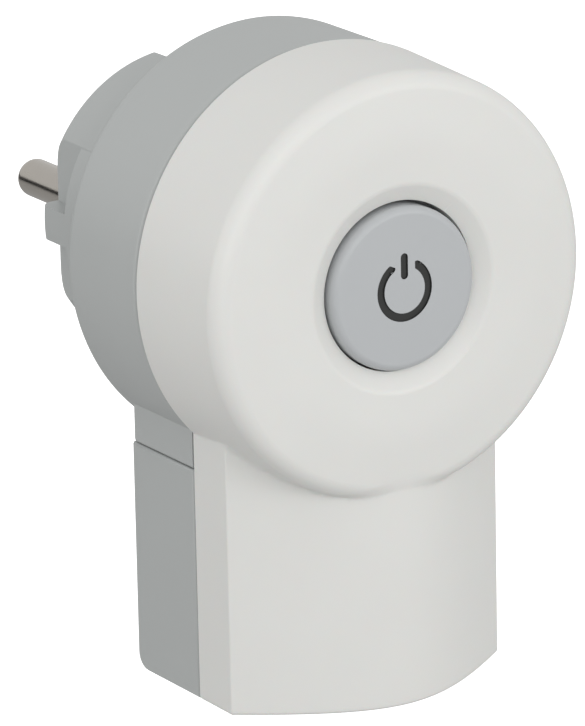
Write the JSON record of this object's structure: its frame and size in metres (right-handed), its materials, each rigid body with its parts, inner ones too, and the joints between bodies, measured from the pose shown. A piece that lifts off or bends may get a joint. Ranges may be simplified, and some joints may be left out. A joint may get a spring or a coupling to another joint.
{
  "type": "switched mains plug",
  "caption": "Round earthed mains plug with two pins, a large press button in its domed front and a neck with a cord entry below.",
  "frame": {"origin": "centre of the face that meets the wall socket, midway between the two pins", "axes": "+Y runs along the pins into the socket and the button faces -Y; +X is the neutral pin's side; the neck hangs towards -Z"},
  "size_m": [0.0528, 0.0703, 0.0779],
  "materials": {
    "white_plastic": "fine satin moulded white, slightly warm",
    "grey_plastic": "satin moulded light grey",
    "button_plastic": "satin moulded light grey with a dark engraved symbol",
    "inner_plastic": "dark moulded insulation",
    "rubber": "black soft bushing",
    "nickel": "bright nickel plating on brass",
    "steel": "zinc plated steel",
    "copper": "rolled copper strip",
    "brass": "machined brass"
  },
  "bodies": {
    "housing": {"front_cover": "white_plastic", "rear_housing": "grey_plastic", "neck_cover": "grey_plastic", "switch_base": "inner_plastic", "pin_plate": "inner_plastic", "terminal_tray": "inner_plastic", "cord_clamp_base": "inner_plastic", "cord_grommet": "rubber", "line_pin": "nickel", "neutral_pin": "nickel", "earth_socket": "nickel", "earth_strip": "nickel", "return_spring": "steel", "earth_link": "steel", "cord_clamp_bar": "steel", "terminal_screw_line": "steel", "terminal_screw_neutral": "steel", "terminal_screw_earth": "steel", "housing_screw_left": "steel", "housing_screw_right": "steel", "neck_screw_left": "steel", "neck_screw_right": "steel", "switch_screw_left": "steel", "switch_screw_right": "steel", "clamp_screw_left": "steel", "clamp_screw_right": "steel", "pin_link_line": "copper", "pin_link_neutral": "copper", "cord_link_line": "copper", "cord_link_neutral": "copper", "terminal_line": "brass", "terminal_neutral": "brass", "terminal_earth": "brass"},
    "button": {"button_cap": "button_plastic", "button_plunger": "inner_plastic", "contact_carrier": "inner_plastic", "contact_bridge_line": "copper", "contact_bridge_neutral": "copper", "contact_spring_line": "steel", "contact_spring_neutral": "steel"},
    "latch": {"latch_pin": "steel"}
  },
  "joints": [
    {"name": "button_press", "type": "slide", "parent": "housing", "child": "button", "axis": [0, 1, 0], "range_m": [0, 0.0026], "stiffness_N_per_m": 800, "springref_m": -0.0015, "deforming": ["return_spring"]},
    {"name": "latch_swing", "type": "hinge", "parent": "housing", "child": "latch", "pos_m": [0, -0.0358, 0.0075], "axis": [0, 0, -1], "range_deg": [0, 6.2]}
  ],
  "couplings": [
    {"joint": "latch_swing", "follows": "button_press", "rad_per_m": 40.277}
  ]
}
